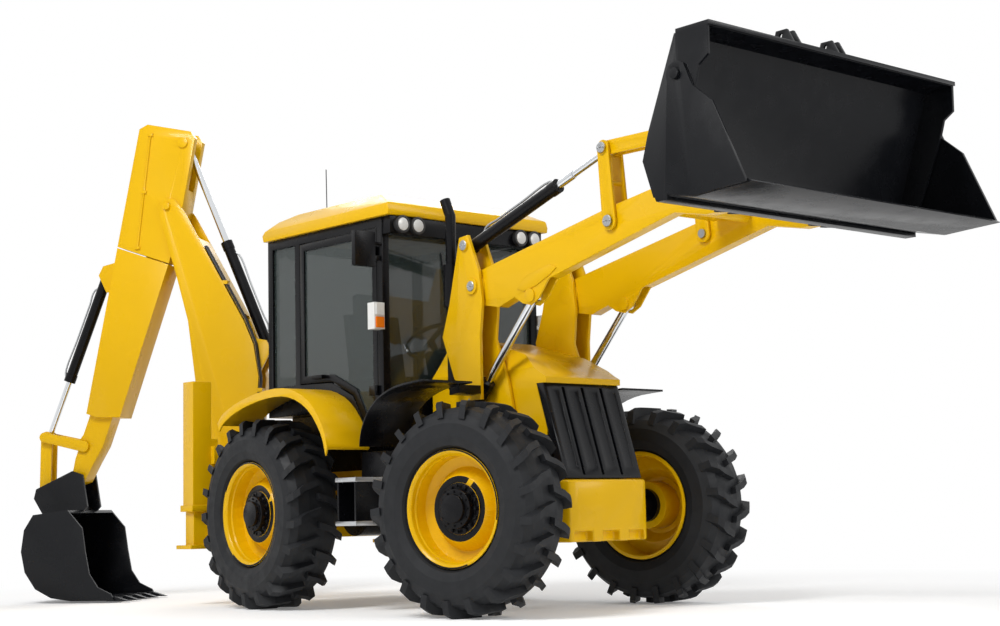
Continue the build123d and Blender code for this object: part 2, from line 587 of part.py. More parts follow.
def mirrors():
    """Door mirrors on short arms at the cab's front posts."""
    solids = []
    for side in (-1, 1):
        y = side * (CAB_HALF + 145)
        arm = rod((CAB_FRONT - 20, side * (CAB_HALF - 5), 2600), (CAB_FRONT - 20, y, 2600), 12)
        solids.append(arm + box(CAB_FRONT - 45, CAB_FRONT - 5, y - 90, y + 90, 2430, 2680))
    return solids


# ---- rear frame and stabilisers --------------------------------------------------------------------
RAIL_X0 = -1040              # rear face of the sideshift rails
RAIL_X1 = REAR_END - GAP
BEAMS = [(500, 640), (1100, 1240)]   # z from, z to
LEG_HALF_X = 60
LEG_HALF_Y = 70
SLEEVE = 14
LEG_FOOT_Z = 440
SLEEVE_Z0 = 730
SLEEVE_Z1 = 1750
SLIDE_FIT = GAP


def rear_frame():
    """Two sideshift beams between the stabilisers' upright sleeves."""
    inner_y = STAB_Y - LEG_HALF_Y - SLIDE_FIT - SLEEVE
    body = box(-980, RAIL_X1, -690, 690, 640, 1100)
    for z0, z1 in BEAMS:
        body += box(RAIL_X0, RAIL_X1, -inner_y, inner_y, z0, z1)
    for side in (-1, 1):
        hx = LEG_HALF_X + SLIDE_FIT
        hy = LEG_HALF_Y + SLIDE_FIT
        y = side * STAB_Y
        tube = box(STAB_X - hx - SLEEVE, STAB_X + hx + SLEEVE, y - hy - SLEEVE, y + hy + SLEEVE,
            SLEEVE_Z0, SLEEVE_Z1)
        tube += box(STAB_X - hx - SLEEVE, STAB_X + hx + SLEEVE, side * inner_y, side * (inner_y - 60),
            560, 1300)
        tube += box(STAB_X - hx - SLEEVE - 16, STAB_X + hx + SLEEVE + 16, y - hy - SLEEVE - 16,
            y + hy + SLEEVE + 16, SLEEVE_Z0, SLEEVE_Z0 + 50)
        tube -= box(STAB_X - hx, STAB_X + hx, y - hy, y + hy, SLEEVE_Z0 - 1, SLEEVE_Z1 - SLEEVE)
        body += tube
    return body


def stabiliser(side):
    """Inner leg with its square foot, drawn up."""
    y = side * STAB_Y
    body = box(STAB_X - LEG_HALF_X, STAB_X + LEG_HALF_X, y - LEG_HALF_Y, y + LEG_HALF_Y, LEG_FOOT_Z + 30,
        SLEEVE_Z1 - 60)
    body += box(STAB_X - 110, STAB_X + 110, y - 125, y + 125, LEG_FOOT_Z, LEG_FOOT_Z + 30)
    return body


CARRIAGE_HALF = 250
TRUNNION_R = 45
BRACKETS = [(590, 650), (1050, 1100)]


def carriage():
    """Sideshift carriage: a plate that clamps on the beams, with two brackets for the kingpost."""
    x1 = RAIL_X0 - GAP
    body = box(x1 - 50, x1, -CARRIAGE_HALF, CARRIAGE_HALF, 460, 1280)
    body += box(x1, RAIL_X0 + 50, -CARRIAGE_HALF, CARRIAGE_HALF, BEAMS[1][1] + GAP, 1280)
    body += box(x1, RAIL_X0 + 50, -CARRIAGE_HALF, CARRIAGE_HALF, 460, BEAMS[0][0] - GAP)
    for z0, z1 in BRACKETS:
        arm = slab([(x1 - 20, -200), (x1 - 20, 200), (KINGPOST_X + 160, 56), (KINGPOST_X, 56),
                    (KINGPOST_X, -56), (KINGPOST_X + 160, -56)], z0, z1)
        arm += rod((KINGPOST_X, 0, z0), (KINGPOST_X, 0, z1), 98)
        arm -= rod((KINGPOST_X, 0, z0 - 1), (KINGPOST_X, 0, z1 + 1), TRUNNION_R + GAP)
        body += arm
    # Slew cylinders, laid across the carriage between the brackets.
    for z in (770, 930):
        body += rod((x1 - 95, -330, z), (x1 - 95, 330, z), 52)
        body += box(x1 - 60, x1, -60, 60, z - 40, z + 40)
    return body


# ---- backhoe, laid out straight back along +X from the slew axis -----------------------------------
FOOT_CLEAR = 3
CAST_HALF = 92


def kingpost():
    """Swing casting: hub between the brackets, boom boss, and a horn over the top for the boom ram."""
    z0, z1 = BRACKETS[0][1] + FOOT_CLEAR, BRACKETS[1][0] - FOOT_CLEAR
    body = rod((0, 0, z0), (0, 0, z1), 90)
    body += rod((0, 0, BRACKETS[0][0]), (0, 0, BRACKETS[1][1]), TRUNNION_R)
    fx, fz = BOOM_FOOT
    body += prism([(0, z0), (fx, fz - 70), (fx + 20, fz + 70), (225, 960), (140, 985), (0, 985)],
        -CAST_HALF, CAST_HALF)
    body += pin(BOOM_FOOT, -CAST_HALF, CAST_HALF, 70)
    for s in (-1, 1):
        body += prism([(140, 960), (225, 940), (228, 1150), (95, 1275), (-20, 1285), (-48, 1220), (-40, 1112),
                       (140, 1112)], s * 52, s * CAST_HALF)
    body += pin(BOOM_RAM_FOOT, -CAST_HALF, CAST_HALF, PIN_R)
    body += pin(BOOM_FOOT, -BOOM_HALF - 25, BOOM_HALF + 25, PIN_R)
    return body


def boom():
    """Curved box boom: deep in its lower half, forked at the foot and at the top."""
    side = [(150, 760), (135, 900), (70, 1400), (30, 1850), (75, 2130), (160, 2330), (690, 3300),
        (775, 3405), (870, 3425), (925, 3350), (905, 3240), (760, 2750), (655, 2350), (585, 1800),
        (480, 1300), (295, 860), (285, 760), (215, 725)]
    outer = prism(side, -BOOM_HALF, BOOM_HALF)
    wall = 18
    lower = prism([(-80, 700), (-80, 1700), (90, 1700), (110, 2060), (190, 2400), (420, 2400),
        (500, 2000), (400, 1400), (330, 900), (330, 700)], -BOOM_HALF + wall + 24, BOOM_HALF - wall - 24)
    body = outer - lower
    body -= prism([(-100, 1690), (-100, 2410), (600, 2410), (590, 2200), (500, 2000), (300, 1690)], -52, 52)
    body -= prism([(100, 700), (100, 1010), (340, 1010), (340, 700)], -CAST_HALF - FOOT_CLEAR,
        CAST_HALF + FOOT_CLEAR)
    # The top fork, open to both edges for the dipper's box between its plates.
    body -= prism([(480, 3060), (480, 3500), (1000, 3500), (1000, 2600), (735, 2600), (720, 2950),
        (600, 3060)], -DIPPER_HALF - 5, DIPPER_HALF + 5)
    body -= pin(BOOM_FOOT, -BOOM_HALF - 1, BOOM_HALF + 1, PIN_R + GAP)
    body -= pin(BOOM_TOP, -BOOM_HALF - 1, BOOM_HALF + 1, PIN_R + GAP)
    # Ears on the machine side carry the dipper ram's foot.
    for s in (-1, 1):
        body += prism([(36, 1900), (-60, 2080), (-20, 2165), (100, 2190), (104, 1900)], s * 64, s * 88)
        body += pin(BOOM_RAM_HEAD, s * 51, s * (BOOM_HALF - wall - 22), PIN_R)
    body += pin(DIPPER_RAM_FOOT, -88, 88, PIN_R)
    # Two hoses lie along its upper edge, under two clamps.
    for y in HOSES_Y:
        for a, b in zip(HOSE_LINE, HOSE_LINE[1:]):
            body += rod((a[0], y, a[1]), (b[0], y, b[1]), HOSE_R) + Pos(b[0], y, b[1]) * Sphere(HOSE_R)
    for x, z in ((26, 1740), (330, 2668)):
        body += box(x - 26, x + 34, HOSES_Y[0] - 20, HOSES_Y[-1] + 20, z - 16, z + 16)
    return body


SLOT = 62                    # half the width inside the dipper's head
BEAM_HALF = 88               # inner dipper's half width
BEAM_BACK = -118             # its edges, from the line between pivot and hitch
BEAM_FRONT = 58
SLEEVE_FROM = 470            # outer dipper's ends, along that line from the pivot
SLEEVE_TO = 1905
BEAM_TO = 1800
BORE_TO = 1830
WEAR = GAP                   # between beam and sleeve
DIPPER_EDGE = [(1105, 4048), (1588, 1559)]      # outer edge, top and bottom
DIPPER_BACK = [(600, 3940), (715, 3330), (790, 3000), (1278, 1551)]


def dipper_strip(start, end, back, front):
    """A strip along the line from the boom's pivot to the bucket's, between two distances from it."""
    return [along(BOOM_TOP, HITCH_PIN, start, back), along(BOOM_TOP, HITCH_PIN, end, back),
            along(BOOM_TOP, HITCH_PIN, end, front), along(BOOM_TOP, HITCH_PIN, start, front)]


def dipper_inner():
    """Inner dipper: the forked head on the boom, and the beam that the outer dipper slides on."""
    head = [DIPPER_EDGE[0], (1030, 4085), (640, 4000)] + DIPPER_BACK + [DIPPER_EDGE[1]]
    body = prism(head, -DIPPER_HALF, DIPPER_HALF)
    body &= prism(dipper_strip(-1200, SLEEVE_FROM - 10, -900, 900), -DIPPER_HALF, DIPPER_HALF)
    body -= prism([(560, 3500), (560, 4200), (880, 4200), (860, 3800), (760, 3500)], -SLOT, SLOT)
    body += prism(dipper_strip(0, BEAM_TO, BEAM_BACK, BEAM_FRONT), -BEAM_HALF, BEAM_HALF)
    body += pin(BOOM_TOP, -BOOM_HALF - 22, BOOM_HALF + 22, PIN_R)
    for s in (-1, 1):
        body += pin(DIPPER_RAM_HEAD, s * DIPPER_HALF, s * (DIPPER_HALF + 16), 45)
    # Thin pipe down its right side.
    y = DIPPER_HALF + 6
    body += rod((1000, y, 3990), (1120, y, 2990), 8)
    for x, z in ((1000, 3990), (1060, 3490), (1118, 3005)):
        body += box(x - 22, x + 22, DIPPER_HALF - 1, y + 10, z - 12, z + 12)
    return body


def dipper_outer():
    """Outer dipper, slid home: a tapering sleeve, and the narrow end with the bucket's bosses."""
    shell = DIPPER_BACK + [DIPPER_EDGE[1], DIPPER_EDGE[0]]
    body = prism(shell, -DIPPER_HALF, DIPPER_HALF)
    body &= prism(dipper_strip(SLEEVE_FROM, SLEEVE_TO, -900, 900), -DIPPER_HALF, DIPPER_HALF)
    n = distance(BOOM_TOP, HITCH_PIN)
    h = 85
    line = [(SLEEVE_TO - 40, -118), (n - 330, -118), (n - 150, -h), (n + 10, -62), (n + 62, 0), (n + 10, 62),
            (n - 150, h), (SLEEVE_TO - 40, h)]
    body += prism([along(BOOM_TOP, HITCH_PIN, reach, side) for reach, side in line], -h, h)
    tx, tz = TIP_PIVOT
    body += prism([(tx - 120, tz + 190), (tx - 20, tz + 140), (tx + 55, tz + 40), (tx + 50, tz - 50),
        (tx - 40, tz - 140)], -h, h)
    body -= prism(dipper_strip(SLEEVE_FROM - 1, BORE_TO, BEAM_BACK - WEAR, BEAM_FRONT + WEAR),
                  -BEAM_HALF - WEAR, BEAM_HALF + WEAR)
    for s in (-1, 1):
        body += prism([(1320, 2640), (1330, 2900), (1460, 2870), (1500, 2790), (1430, 2640)], s * 48, s * 72)
    body += pin(BUCKET_RAM_FOOT, -72, 72, PIN_R)
    body -= pin(HITCH_PIN, -h - 1, h + 1, PIN_R + GAP)
    body -= pin(TIP_PIVOT, -h - 1, h + 1, PIN_R + GAP)
    return body


def tipping_lever():
    """Pair of lever plates outside the dipper's end, with the pins at both ends."""
    body = None
    for s in (-1, 1):
        plate = strap(TIP_PIVOT, TIP_TOP, 48, 42, s * 90, s * 112)
        body = plate if body is None else body + plate
    body += pin(TIP_PIVOT, -112, 112, PIN_R)
    body += pin(TIP_TOP, -41, -112, PIN_R) + pin(TIP_TOP, 41, 112, PIN_R)
    return body


def tipping_link():
    """Pair of links from the lever's end down to the bucket's hitch."""
    low = LINK_PIN
    body = strap(TIP_TOP, low, 52, 52, -61, -41) + strap(TIP_TOP, low, 52, 52, 41, 61)
    body += box(low[0] - 18, low[0] + 18, -42, 42, 1100, 1140)
    body -= pin(TIP_TOP, -63, 63, PIN_R + GAP)
    return body


def hoe_bucket():
    """Digging bucket on its quick hitch: curved shell, two cheeks, lip with five tooth adaptors."""
    hw = HOE_BUCKET_HALF
    t = 22
    outline = [(1600, 770), (1905, 735), (1985, 610), (2010, 430), (1975, 260), (1880, 120), (1740, 45),
        (1560, 18), (1180, 18), (1215, 75), (1330, 130), (1405, 240), (1440, 420), (1470, 620)]
    body = prism(outline, -hw, hw)
    inner = [(1560, 800), (1580, 745), (1885, 712), (1962, 605), (1987, 430), (1953, 268), (1864, 138),
        (1733, 67), (1560, 42), (1100, 42), (1100, 300), (1380, 800)]
    body -= prism(inner, -hw + t, hw - t)
    for i in range(5):
        y = -hw + 50 + i * (2 * hw - 100) / 4
        body += prism([(1260, 14), (1260, 52), (1180, 50), (1060, 12)], y - 28, y + 28)
    for s in (-1, 1):
        ear = [(HITCH_PIN[0] - 62, HITCH_PIN[1] + 30), (HITCH_PIN[0] + 30, HITCH_PIN[1] + 62),
            (LINK_PIN[0] + 40, LINK_PIN[1] + 50), (LINK_PIN[0] + 60, LINK_PIN[1] - 30), (1950, 715),
            (1600, 755), (1560, 800)]
        body += prism(ear, s * 123, s * 151)
    body += pin(HITCH_PIN, -151, 151, PIN_R)
    body += pin(LINK_PIN, -151, -66, PIN_R) + pin(LINK_PIN, 66, 151, PIN_R)
    body += box(1640, 1940, -151, 151, 760, 800)
    return body


def make_backhoe():
    swing = Pos(KINGPOST_X, 0, 0) * Rot(0, 0, 180 + SLEW_REST)
    pieces = {"kingpost": kingpost(), "boom": boom(), "dipper_inner": dipper_inner(),
        "dipper_outer": dipper_outer(), "tipping_lever": tipping_lever(), "tipping_link": tipping_link(),
        "hoe_bucket": hoe_bucket()}
    # name: foot, head, barrel's and rod's radius, gland's and rod end's distance from the foot, eye width
    rams = [("boom_ram", BOOM_RAM_FOOT, BOOM_RAM_HEAD, 44, 24, 960, 125, 94),
            ("dipper_ram", DIPPER_RAM_FOOT, DIPPER_RAM_HEAD, 46, 28, 1010, 880, 110),
            ("bucket_ram", BUCKET_RAM_FOOT, TIP_TOP, 45, 24, 985, 400, 78)]
    for name, foot, head, barrel_r, rod_r, gland, piston, eye in rams:
        barrel, shaft = ram(foot, head, 0, barrel_r, rod_r, rod_r, gland, piston, eye)
        pieces[name + "_barrel"] = barrel
        pieces[name + "_rod"] = shaft
    for name, shape in pieces.items():
        keep(name, swing * shape)


# ---- loader ------------------------------------------------------------------------------------------
LINK_EAR = (LEVER_TOP[0] + BUCKET_PIVOT[0] - LEVER_PIN[0], LEVER_TOP[1] + BUCKET_PIVOT[1] - LEVER_PIN[1])
ARM_0 = ARM_Y - ARM_W / 2
ARM_1 = ARM_Y + ARM_W / 2
SIDE_GAP = 5                 # between plates that turn past each other
LUG = 18                     # thickness of levers and ears


def loader_arms():
    """Two cranked box arms, joined by a wide cross plate and a tube near the front."""
    px, pz = ARM_PIVOT
    bx, bz = BUCKET_PIVOT
    side = [(px - 80, pz - 20), (px - 66, pz + 52), (px + 10, pz + 98), (px + 110, pz + 122),
        (3215, 2592), (3560, 2648), (3760, 2640), (bx - 60, bz + 62), (bx + 30, bz + 55), (bx + 66, bz),
        (bx + 30, bz - 55), (bx - 120, bz - 62), (3760, 2474), (2620, 2200), (2520, 2080), (2440, 2040),
        (2360, 2060), (2280, 2110), (2120, 2060), (px + 90, 2085), (px, pz - 90)]
    arm = prism(side, ARM_0, ARM_1)
    # The lift ram's bracket is forked round the rod's eye.
    arm -= prism([(2300, 1990), (2300, 2160), (2390, 2225), (2500, 2268), (2640, 2268), (2640, 1990)],
                 ARM_Y - 31, ARM_Y + 31)
    arm += pin(ARM_PIVOT, TOWER_IN + 3, TOWER_OUT - 3, 88)
    for s in (-1, 1):
        arm += pin(LIFT_ON_ARM, ARM_Y + s * (ARM_W / 2), ARM_Y + s * (ARM_W / 2 + 14), 46)
    for at in (ARM_PIVOT, BUCKET_PIVOT, LEVER_PIN):
        arm -= pin(at, TOWER_IN, TOWER_OUT, PIN_R + GAP)
    arm += prism([(2310, 2165), (2420, 2245), (2640, 2290), (2700, 2262), (2640, 2225), (2500, 2165),
        (2380, 2140)], ARM_1 - 1, ARM_1 + 7)
    body = both(arm)
    body += prism([(3330, 2560), (3330, 2600), (3590, 2640), (3590, 2600)], -ARM_0 - 1, ARM_0 + 1)
    body -= both(box(3320, 3425, ARM_0 - SIDE_GAP - LUG - 6, ARM_0, 2530, 2640))
    body += rod((3578, -ARM_0 - 1, 2574), (3578, ARM_0 + 1, 2574), 50)
    return body


LINK_Y = 38                  # a link strap's middle from the arm's middle plane
LINK_T = 12
EYE_W = 54                   # rod eyes that run between the link straps


def lever_pins():
    return both(pin(LEVER_PIN, ARM_0 - SIDE_GAP - LUG - 14, ARM_1 + SIDE_GAP + LUG + 14, PIN_R))


def levers():
    """Tipping levers, a plate on each side of each arm."""
    pair = None
    for y in (ARM_0 - SIDE_GAP - LUG, ARM_1 + SIDE_GAP):
        plate = strap(LEVER_PIN, LEVER_TOP, 58, 50, y, y + LUG)
        plate -= pin(LEVER_PIN, y - 1, y + LUG + 1, PIN_R + GAP)
        pair = plate if pair is None else pair + plate
    mid = along(LEVER_PIN, LEVER_TOP, 250)
    pair += rod((mid[0] + 20, ARM_0 - SIDE_GAP - 1, mid[1]), (mid[0] + 20, ARM_1 + SIDE_GAP + 1, mid[1]), 16)
    # Stub pins at the top, one each side of the ram's rod eye.
    for s in (-1, 1):
        pair += pin(LEVER_TOP, ARM_Y + s * (LINK_Y - LINK_T / 2),
            ARM_Y + s * (ARM_W / 2 + SIDE_GAP + LUG + 14), PIN_R)
    return both(pair)


def links():
    """Straps from the levers' tops to the bucket's upper ears."""
    pair = None
    for s in (-1, 1):
        y0, y1 = ARM_Y + s * (LINK_Y - LINK_T / 2), ARM_Y + s * (LINK_Y + LINK_T / 2)
        plate = strap(LEVER_TOP, LINK_EAR, 48, 48, y0, y1)
        plate -= pin(LEVER_TOP, y0 - 2 * s, y1 + 2 * s, PIN_R + GAP)
        pair = plate if pair is None else pair + plate
    mid = along(LEVER_TOP, LINK_EAR, distance(LEVER_TOP, LINK_EAR) * 0.5)
    pair += rod((mid[0], ARM_Y - LINK_Y, mid[1]), (mid[0], ARM_Y + LINK_Y, mid[1]), 18)
    return both(pair)


def bucket_pins():
    return both(pin(BUCKET_PIVOT, ARM_0 - SIDE_GAP - LUG - 14, ARM_1 + SIDE_GAP + LUG + 14, PIN_R))


CLAM_PIVOT = (4462, 3089)
SHELL_TOP_FRONT = (4687, 3346)
SHELL_TOP_REAR = (4472, 3340)
SHELL_KNEE = (4238, 2650)
SHELL_HEEL = (4262, 2392)
CLAM_HEEL = (4350, 2448)
CLAM_UPPER = (4583, 2999)
SHELL_T = 20
CLAM_T = 20


def bucket_shell():
    """Rear half of the multi-purpose bucket: back plate, cheeks, top rail, ears and fork brackets."""
    w = LOADER_BUCKET_HALF - CLAM_T - SIDE_GAP
    outline = [SHELL_HEEL, (4240, 2440), SHELL_KNEE, SHELL_TOP_REAR, SHELL_TOP_FRONT, (4684, 3161),
        (4612, 3113), (CLAM_UPPER[0] - 5, CLAM_UPPER[1]), (CLAM_HEEL[0] - 6, CLAM_HEEL[1] + 4),
        (4345, 2392)]
    body = prism(outline, -w, w)
    hollow = [(4262, 2414), (4262, 2645), (4490, 3312), (4520, 3322), (4700, 3322), (4700, 3100),
        (4600, 2980), (4372, 2445), (4360, 2414)]
    body -= prism(hollow, -w + SHELL_T, w - SHELL_T)
    # Side flanges stand out behind the back plate.
    for s in (-1, 1):
        body += prism([(4240, 2420), (4165, 2640), (4215, 2800), (4440, 3330), (4480, 3320), (4250, 2640)],
                      s * (w - SHELL_T), s * w)
    body += box(4450, 4700, -w, w, 3326, 3352)
    for s in (-1, 1):
        body += pin(CLAM_PIVOT, s * (w - 2), s * (w + SIDE_GAP + CLAM_T + 16), 32)
    bx, bz = BUCKET_PIVOT
    ears = None
    for y in (ARM_0 - SIDE_GAP - LUG, ARM_1 + SIDE_GAP):
        ear = prism([(bx - 40, bz - 62), (4262, 2400), (4262, 2640), (bx + 10, bz + 74),
            (bx - 60, bz + 40)], y, y + LUG)
        ear += pin(BUCKET_PIVOT, y, y + LUG, 68)
        ear -= pin(BUCKET_PIVOT, y - 1, y + LUG + 1, PIN_R + GAP)
        ears = ear if ears is None else ears + ear
    lx, lz = LINK_EAR
    upper = prism([(lx - 30, lz - 40), (4300, 2800), (4400, 3080), (lx - 20, lz + 42)],
        ARM_Y - EYE_W / 2, ARM_Y + EYE_W / 2)
    upper += pin(LINK_EAR, ARM_Y - EYE_W / 2, ARM_Y + EYE_W / 2, 46)
    body += both(ears + upper)
    for y in (-390, 30):
        for s in (-1, 1):
            y0 = y + s * 30
            lug = prism([(4530, 3350), (4560, 3440), (4640, 3440), (4690, 3350)], y0 - 9, y0 + 9)
            lug -= pin((4600, 3402), y0 - 12, y0 + 12, FORK_PIN_R)
            body += lug
    return body


FORK_PIN_R = 20


def bucket_clam():
    """Front jaw: floor with its cutting edge between two cheeks that hang from the clam pivots."""
    w = LOADER_BUCKET_HALF
    cheek = [(CLAM_PIVOT[0] - 60, CLAM_PIVOT[1] + 40), (CLAM_PIVOT[0] + 60, CLAM_PIVOT[1] + 50),
        CLAM_UPPER, (4721, 2885), (4944, 2404), (4557, 2379), (4360, 2420), CLAM_HEEL]
    body = None
    for s in (-1, 1):
        plate = prism(cheek, s * (w - CLAM_T), s * w) + pin(CLAM_PIVOT, s * (w - CLAM_T), s * w, 72)
        plate -= pin(CLAM_PIVOT, s * (w - CLAM_T - 1), s * (w + 1), 32 + GAP)
        body = plate if body is None else body + plate
    body += prism([CLAM_HEEL, (4366, 2470), (4560, 2401), (4940, 2420), (4975, 2400), (4557, 2376),
        (4362, 2416)], -w + CLAM_T - 1, w - CLAM_T + 1)
    return body


TUBE_R = 28                  # tilt ram's middle stage
TUBE_BORE_R = 22
TUBE_FROM = 190              # its ends, from the ram's foot
TUBE_TO = 1085


def tilt_tube():
    """Middle stage of a tilt ram: a tube that slides in the barrel and holds the rod."""
    ends = [(x, ARM_Y, z) for x, z in (along(TOWER_TOP, LEVER_TOP, reach) for reach in (TUBE_FROM, TUBE_TO))]
    return rod(ends[0], ends[1], TUBE_R) - rod(ends[0], ends[1], TUBE_BORE_R + GAP)


def make_loader():
    keep("loader_arms", loader_arms())
    keep("lever_pins", lever_pins())
    keep("levers", levers())
    keep("links", links())
    keep("bucket_pins", bucket_pins())
    keep("bucket_shell", bucket_shell())
    keep("bucket_clam", bucket_clam())
    keep("tilt_ram_tubes", both(tilt_tube()))
    # name: foot, head, radii of barrel, bore and rod, gland's and rod end's distance from the foot, eye width
    rams = [("lift_ram", LIFT_ON_FRAME, LIFT_ON_ARM, 48, 28, 28, 960, 702, 54),
            ("tilt_ram", TOWER_TOP, LEVER_TOP, 45, TUBE_R, TUBE_BORE_R, 925, 640, EYE_W)]
    for name, foot, head, barrel_r, bore_r, rod_r, gland, piston, eye in rams:
        barrel, shaft = ram(foot, head, ARM_Y, barrel_r, bore_r, rod_r, gland, piston, eye)
        keep(name + "_barrels", both(barrel))
        keep(name + "_rods", both(shaft))


# ---- the whole machine -----------------------------------------------------------------------------
def make_chassis():
    keep("chassis_frame", chassis())
    keep("axles", axle(0) + axle(WHEELBASE))
    keep("front_counterweight", counterweight())
    keep("hood", hood())
    keep("grille", grille())
    keep("engine_block", engine())
    keep("exhaust_stack", exhaust())
    keep("cab_frame", group([cab_frame()] + mirrors()))
    keep("cab_roof", cab_roof())
    keep("cab_glass", group(cab_glass()))
    keep("cab_interior", group(cab_interior()))
    for name, side in (("right", -1), ("left", 1)):
        frame, pane = door(side)
        keep("door_" + name, frame)
        keep("door_glass_" + name, pane)
    keep("rear_fenders", rear_fenders())
    keep("front_fenders", front_fenders())
    keep("side_steps", side_steps())
    keep("lamps", group(lamps()))
    keep("rear_frame", rear_frame())
    keep("stabiliser_right", stabiliser(-1))
    keep("stabiliser_left", stabiliser(1))
    keep("carriage", carriage())


make_chassis()
make_wheels()
make_loader()
make_backhoe()

# The origin moves to the ground under the middle of the machine.
boxes = [shape.bounding_box() for shape in ALL.values()]
MID_X = (min(b.min.X for b in boxes) + max(b.max.X for b in boxes)) / 2
MID_Y = (min(b.min.Y for b in boxes) + max(b.max.Y for b in boxes)) / 2
LOW_Z = min(b.min.Z for b in boxes)
for name, shape in ALL.items():
    export_step(Pos(-MID_X, -MID_Y, -LOW_Z) * shape, "parts/" + name + ".step")
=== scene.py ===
import json
import math

import bmesh
import bpy
from mathutils import Matrix, Vector

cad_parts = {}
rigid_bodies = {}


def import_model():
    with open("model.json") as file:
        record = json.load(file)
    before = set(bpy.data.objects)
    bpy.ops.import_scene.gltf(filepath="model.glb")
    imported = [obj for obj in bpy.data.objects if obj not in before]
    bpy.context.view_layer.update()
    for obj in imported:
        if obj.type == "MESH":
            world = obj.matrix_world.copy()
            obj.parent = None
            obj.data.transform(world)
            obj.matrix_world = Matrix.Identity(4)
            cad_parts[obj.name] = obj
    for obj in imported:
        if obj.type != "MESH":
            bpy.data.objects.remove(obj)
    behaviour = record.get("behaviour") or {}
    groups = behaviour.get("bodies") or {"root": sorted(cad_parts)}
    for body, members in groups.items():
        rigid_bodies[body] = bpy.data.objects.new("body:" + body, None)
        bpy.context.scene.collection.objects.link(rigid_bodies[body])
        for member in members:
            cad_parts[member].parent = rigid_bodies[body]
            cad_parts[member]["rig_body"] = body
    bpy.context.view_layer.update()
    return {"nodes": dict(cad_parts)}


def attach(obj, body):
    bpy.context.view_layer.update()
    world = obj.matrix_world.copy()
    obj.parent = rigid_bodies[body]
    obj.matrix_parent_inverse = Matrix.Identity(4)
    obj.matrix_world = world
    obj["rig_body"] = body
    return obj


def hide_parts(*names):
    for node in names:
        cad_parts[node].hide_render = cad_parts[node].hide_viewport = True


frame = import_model()

# ---- places ---------------------------------------------------------------------------------------
# Measures are metres from the point on the ground under the rear axle's middle; +X forward, +Y left.
# MID turns them into the part's own frame.
MID = Vector((-0.843947, 0.175705, 0.0))
HOE_TURN = math.radians(218)             # the backhoe's direction at rest
KINGPOST = Vector((-1.42, 0.0, 0.0))
LEFT_AND_RIGHT = ((-1, "right"), (1, "left"))
UP = Vector((0, 0, 1))


def at(x, y, z):
    return Vector((x, y, z)) + MID


def hoe(reach, y, z):
    """A point given by its reach from the slew axis, in the swung backhoe's own plane."""
    turn = Matrix.Rotation(HOE_TURN, 3, "Z")
    return turn @ Vector((reach, y, 0)) + KINGPOST + Vector((0, 0, z)) + MID


# ---- camera ---------------------------------------------------------------------------------------
LENS = 62.3
SENSOR = 36
CAMERA_PLACE = Vector((10.039, -8.065, 0.665))
CAMERA_YAW = math.radians(41.53)
CAMERA_PITCH = math.radians(6.6)
CAMERA_ROLL = math.radians(-1.26)


def make_camera():
    data = bpy.data.cameras.new("camera")
    data.lens = LENS
    data.sensor_width = SENSOR
    yaw, pitch, roll = CAMERA_YAW, CAMERA_PITCH, CAMERA_ROLL
    look = Vector((-math.cos(yaw) * math.cos(pitch), math.sin(yaw) * math.cos(pitch), math.sin(pitch)))
    right = look.cross(UP).normalized()
    up = right.cross(look)
    right, up = (right * math.cos(roll) + up * math.sin(roll),
                 up * math.cos(roll) - right * math.sin(roll))
    camera = bpy.data.objects.new("camera", data)
    place = Matrix((right, up, -look)).transposed().to_4x4()
    place.translation = CAMERA_PLACE
    camera.matrix_world = place
    bpy.context.collection.objects.link(camera)
    bpy.context.scene.camera = camera


make_camera()


# ---- materials ------------------------------------------------------------------------------------
def shader(name):
    """A new node material: its tree and its principled shader."""
    material = bpy.data.materials.new(name)
    material.use_nodes = True
    return material, material.node_tree, material.node_tree.nodes["Principled BSDF"]


def add(tree, kind, **values):
    node = tree.nodes.new(kind)
    for key, value in values.items():
        if key in node.inputs:
            node.inputs[key].default_value = value
        else:
            setattr(node, key, value)
    return node


def mottle(tree, scale, low, high, detail=4.0):
    """Noise in object space, spread between two numbers."""
    place = add(tree, "ShaderNodeTexCoord")
    noise = add(tree, "ShaderNodeTexNoise", Scale=scale, Detail=detail)
    spread = add(tree, "ShaderNodeMapRange")
    spread.inputs["From Min"].default_value = 0.3
    spread.inputs["From Max"].default_value = 0.7
    spread.inputs["To Min"].default_value = low
    spread.inputs["To Max"].default_value = high
    tree.links.new(place.outputs["Object"], noise.inputs["Vector"])
    tree.links.new(noise.outputs["Fac"], spread.inputs["Value"])
    return spread.outputs["Result"]


def bump(tree, principled, scale, strength, distance):
    place = add(tree, "ShaderNodeTexCoord")
    noise = add(tree, "ShaderNodeTexNoise", Scale=scale, Detail=3.0)
    relief = add(tree, "ShaderNodeBump", Strength=strength, Distance=distance)
    tree.links.new(place.outputs["Object"], noise.inputs["Vector"])
    tree.links.new(noise.outputs["Fac"], relief.inputs["Height"])
    tree.links.new(relief.outputs["Normal"], principled.inputs["Normal"])


